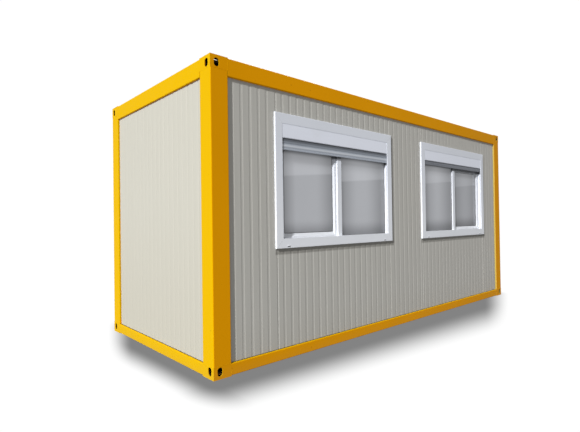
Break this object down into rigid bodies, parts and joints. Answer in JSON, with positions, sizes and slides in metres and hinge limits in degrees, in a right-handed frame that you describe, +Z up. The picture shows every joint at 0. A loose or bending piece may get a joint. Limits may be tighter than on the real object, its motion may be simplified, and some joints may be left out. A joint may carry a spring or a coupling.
{
  "type": "portable site cabin",
  "caption": "Portable site cabin with a yellow steel frame, corner castings, ribbed grey insulated walls and sliding windows under roller shutters.",
  "frame": {"origin": "middle of the footprint, at the level of the ground under the corner castings", "axes": "+X along the cabin's length to the right of the window side, +Y from the window side to the rear, +Z up"},
  "size_m": [6.055, 2.435, 2.896],
  "materials": {
    "frame_paint": "semi-gloss paint",
    "wall_sheet": "coil-coated sheet, satin",
    "white_plastic": "smooth white window plastic",
    "shutter_plastic": "matte slats",
    "window_glass": "clear",
    "beam_steel": "galvanised",
    "floor_board": "sealed board",
    "ceiling_sheet": "satin",
    "roof_steel": "galvanised",
    "door_paint": "satin paint",
    "handle_metal": "satin"
  },
  "bodies": {
    "root": {"bottom_corner_castings": "frame_paint", "top_corner_castings": "frame_paint", "front_left_post": "frame_paint", "front_right_post": "frame_paint", "rear_left_post": "frame_paint", "rear_right_post": "frame_paint", "front_bottom_rail": "frame_paint", "rear_bottom_rail": "frame_paint", "left_bottom_rail": "frame_paint", "right_bottom_rail": "frame_paint", "front_top_rail": "frame_paint", "rear_top_rail": "frame_paint", "left_top_rail": "frame_paint", "right_top_rail": "frame_paint", "floor_beams": "beam_steel", "floor_deck": "floor_board", "ceiling_panel": "ceiling_sheet", "roof_sheet": "roof_steel", "front_wall_left": "wall_sheet", "front_wall_middle": "wall_sheet", "front_wall_right": "wall_sheet", "front_wall_over_windows": "wall_sheet", "front_wall_under_windows": "wall_sheet", "left_end_wall": "wall_sheet", "right_end_wall": "wall_sheet", "rear_wall_left": "wall_sheet", "rear_wall_right": "wall_sheet", "rear_wall_over_door": "wall_sheet", "left_window_frame": "white_plastic", "left_window_sash": "white_plastic", "left_window_glass": "window_glass", "left_shutter_box": "white_plastic", "left_shutter_curtain": "shutter_plastic", "right_window_frame": "white_plastic", "right_window_sash": "white_plastic", "right_window_glass": "window_glass", "right_shutter_box": "white_plastic", "right_shutter_curtain": "shutter_plastic", "door_frame": "door_paint", "door_leaf": "door_paint", "door_handles": "handle_metal", "door_hinges": "handle_metal"}
  },
  "joints": []
}
